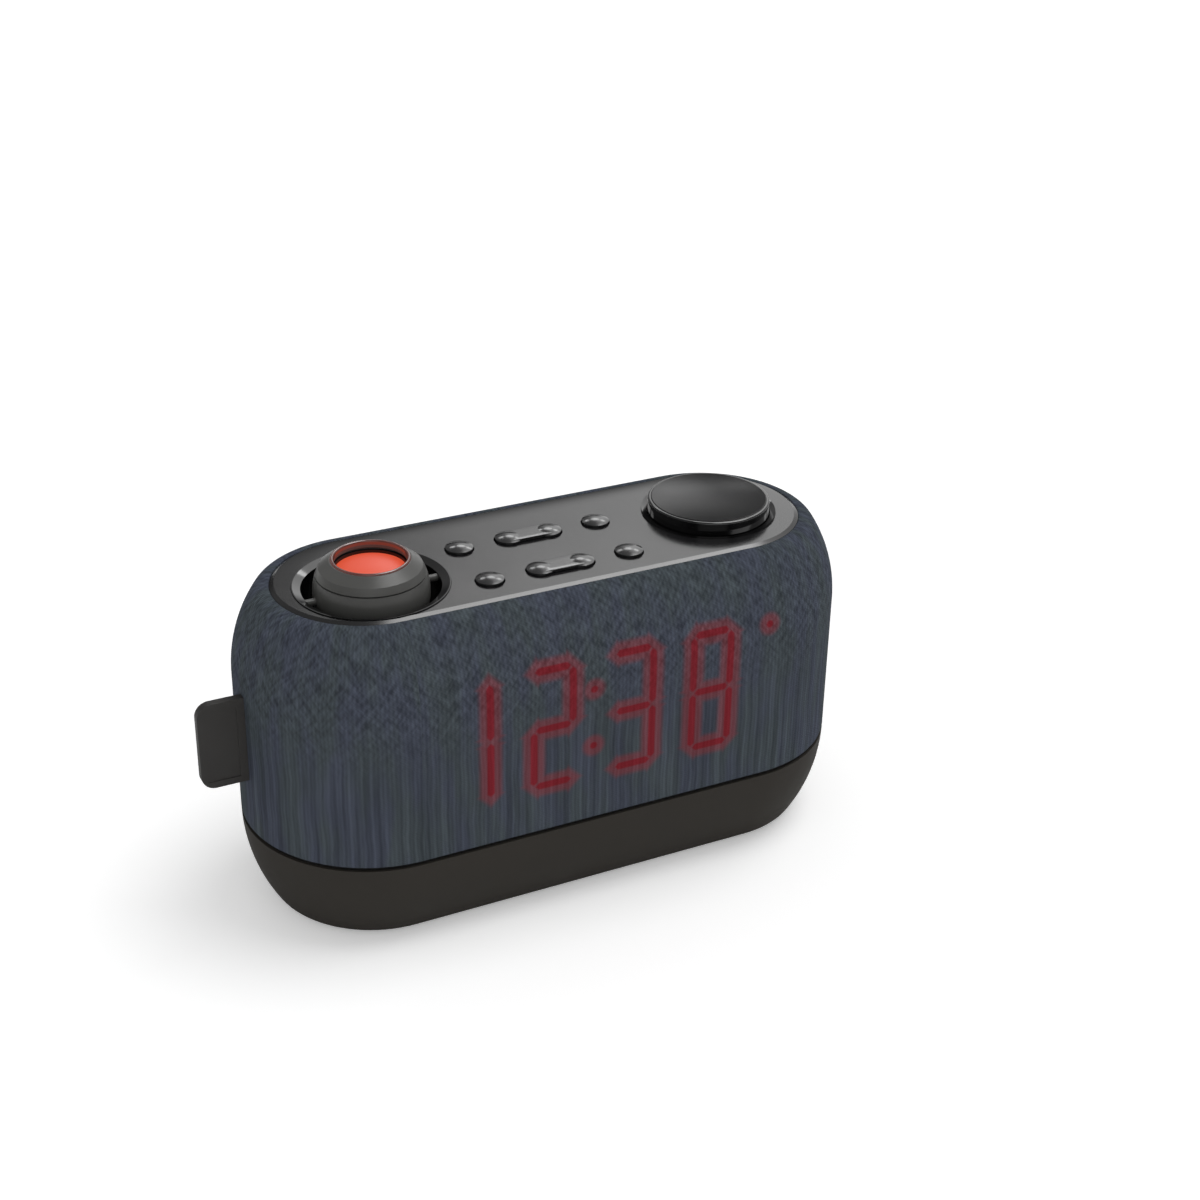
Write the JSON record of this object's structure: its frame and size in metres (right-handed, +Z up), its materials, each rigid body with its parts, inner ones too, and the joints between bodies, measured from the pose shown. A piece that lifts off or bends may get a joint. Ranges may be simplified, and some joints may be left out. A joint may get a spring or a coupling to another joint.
{
  "type": "projection alarm clock",
  "caption": "Oval alarm clock in ribbed cloth with a tilting ball projector, a large snooze button, keys on top and red digits behind the cloth.",
  "frame": {"origin": "on the table, under the middle of the body", "axes": "+X towards the snooze end, -Y towards the display side, +Z up"},
  "size_m": [0.1928, 0.075, 0.104],
  "materials": {
    "base_plastic": "fine satin moulding",
    "foot_rubber": "matte",
    "gasket": "matte",
    "carcass_plastic": "as moulded",
    "cloth": "fine ribbed weave",
    "tag_rubber": "matte, soft",
    "screw_steel": "zinc plated",
    "panel_plastic": "satin",
    "board": "solder mask",
    "switch_plastic": "as moulded",
    "key_plastic": "satin",
    "gloss_black": "polished",
    "soft_touch": "soft touch",
    "spring_steel": "drawn wire",
    "ball_plastic": "satin",
    "lamp_red": "clear epoxy",
    "clear_lens": "polished",
    "slide_film": "polished",
    "barrel_black": "matte",
    "red_lens": "polished",
    "filter_red": "polished",
    "lightbox_black": "matte",
    "segment_lit": "diffusing",
    "segment_dark": "diffusing",
    "led_body": "as moulded",
    "chip_black": "matte",
    "capacitor_sleeve": "shrink sleeve",
    "tinned_can": "tinned",
    "jack_plastic": "as moulded",
    "jack_brass": "plated",
    "speaker_steel": "pressed and painted",
    "cone_paper": "pressed paper",
    "ferrite": "ground",
    "ribbon": "flexible flat cable",
    "cell_steel": "stamped"
  },
  "bodies": {
    "housing": {"base_shell": "base_plastic", "rubber_feet": "foot_rubber", "seam_gasket": "gasket", "carcass": "carcass_plastic", "fabric_cover": "cloth", "side_tag": "tag_rubber", "base_screws": "screw_steel", "top_panel": "panel_plastic", "key_board": "board", "keyboard_screws": "screw_steel", "tact_switches": "switch_plastic", "snooze_spring": "spring_steel", "snooze_ring": "gloss_black", "snooze_guide": "carcass_plastic", "snooze_switch": "switch_plastic", "projector_well": "gloss_black", "display_filter": "filter_red", "display_lightbox": "lightbox_black", "lit_segments": "segment_lit", "dark_segments": "segment_dark", "display_leds": "led_body", "display_board": "board", "display_screws": "screw_steel", "main_board": "board", "main_chips": "chip_black", "capacitors": "capacitor_sleeve", "tuner_can": "tinned_can", "board_screws": "screw_steel", "power_jack": "jack_plastic", "jack_pin": "jack_brass", "speaker_frame": "speaker_steel", "speaker_cone": "cone_paper", "speaker_magnet": "ferrite", "speaker_screws": "screw_steel", "display_ribbon": "ribbon", "key_ribbon": "ribbon", "coin_cell": "cell_steel", "cell_contacts": "jack_brass"},
    "projector": {"projector_ball": "ball_plastic", "projector_lamp": "lamp_red", "lamp_board": "board", "condenser_lens": "clear_lens", "time_slide": "slide_film"},
    "focus_ring": {"focus_cap": "ball_plastic", "lens_ring": "gloss_black"},
    "lens_carrier": {"lens_barrel": "barrel_black", "projector_lens": "red_lens"},
    "snooze": {"snooze_button": "gloss_black", "snooze_cap": "soft_touch"},
    "key_back_left": {"key_back_left": "key_plastic"},
    "key_back_right": {"key_back_right": "key_plastic"},
    "key_front_left": {"key_front_left": "key_plastic"},
    "key_front_right": {"key_front_right": "key_plastic"},
    "rocker_back": {"rocker_back": "key_plastic"},
    "rocker_front": {"rocker_front": "key_plastic"},
    "battery_door": {"battery_door": "base_plastic"}
  },
  "joints": [
    {"name": "projector_tilt", "type": "hinge", "parent": "housing", "child": "projector", "pos_m": [-0.0525, -0.0035, 0.094], "axis": [1, 0, 0], "range_deg": [-25, 25]},
    {"name": "focus_turn", "type": "hinge", "parent": "projector", "child": "focus_ring", "pos_m": [-0.0525, -0.0035, 0.094], "axis": [0, 0, 1], "range_deg": [-45, 45]},
    {"name": "lens_slide", "type": "slide", "parent": "projector", "child": "lens_carrier", "axis": [0, 0, 1], "range_m": [-0.0006, 0.0006]},
    {"name": "snooze_press", "type": "slide", "parent": "housing", "child": "snooze", "axis": [0, 0, -1], "range_m": [0, 0.0015], "stiffness_N_per_m": 700, "springref_m": -0.0006, "deforming": ["snooze_spring"]},
    {"name": "press_back_left", "type": "slide", "parent": "housing", "child": "key_back_left", "axis": [0, 0, -1], "range_m": [0, 0.0007], "stiffness_N_per_m": 700, "springref_m": -0.0003},
    {"name": "press_back_right", "type": "slide", "parent": "housing", "child": "key_back_right", "axis": [0, 0, -1], "range_m": [0, 0.0007], "stiffness_N_per_m": 700, "springref_m": -0.0003},
    {"name": "press_front_left", "type": "slide", "parent": "housing", "child": "key_front_left", "axis": [0, 0, -1], "range_m": [0, 0.0007], "stiffness_N_per_m": 700, "springref_m": -0.0003},
    {"name": "press_front_right", "type": "slide", "parent": "housing", "child": "key_front_right", "axis": [0, 0, -1], "range_m": [0, 0.0007], "stiffness_N_per_m": 700, "springref_m": -0.0003},
    {"name": "rock_back", "type": "hinge", "parent": "housing", "child": "rocker_back", "pos_m": [-0.002, 0.006, 0.0917], "axis": [0, 1, 0], "range_deg": [-3, 3], "stiffness_Nm_per_rad": 0.02},
    {"name": "rock_front", "type": "hinge", "parent": "housing", "child": "rocker_front", "pos_m": [-0.002, -0.015, 0.0917], "axis": [0, 1, 0], "range_deg": [-3, 3], "stiffness_Nm_per_rad": 0.02},
    {"name": "door_turn", "type": "hinge", "parent": "housing", "child": "battery_door", "pos_m": [-0.022, 0.004, 0.0012], "axis": [0, 0, 1], "range_deg": [0, 35]}
  ],
  "couplings": [
    {"joint": "focus_turn", "follows": "lens_slide", "rad_per_m": 1308.9}
  ]
}
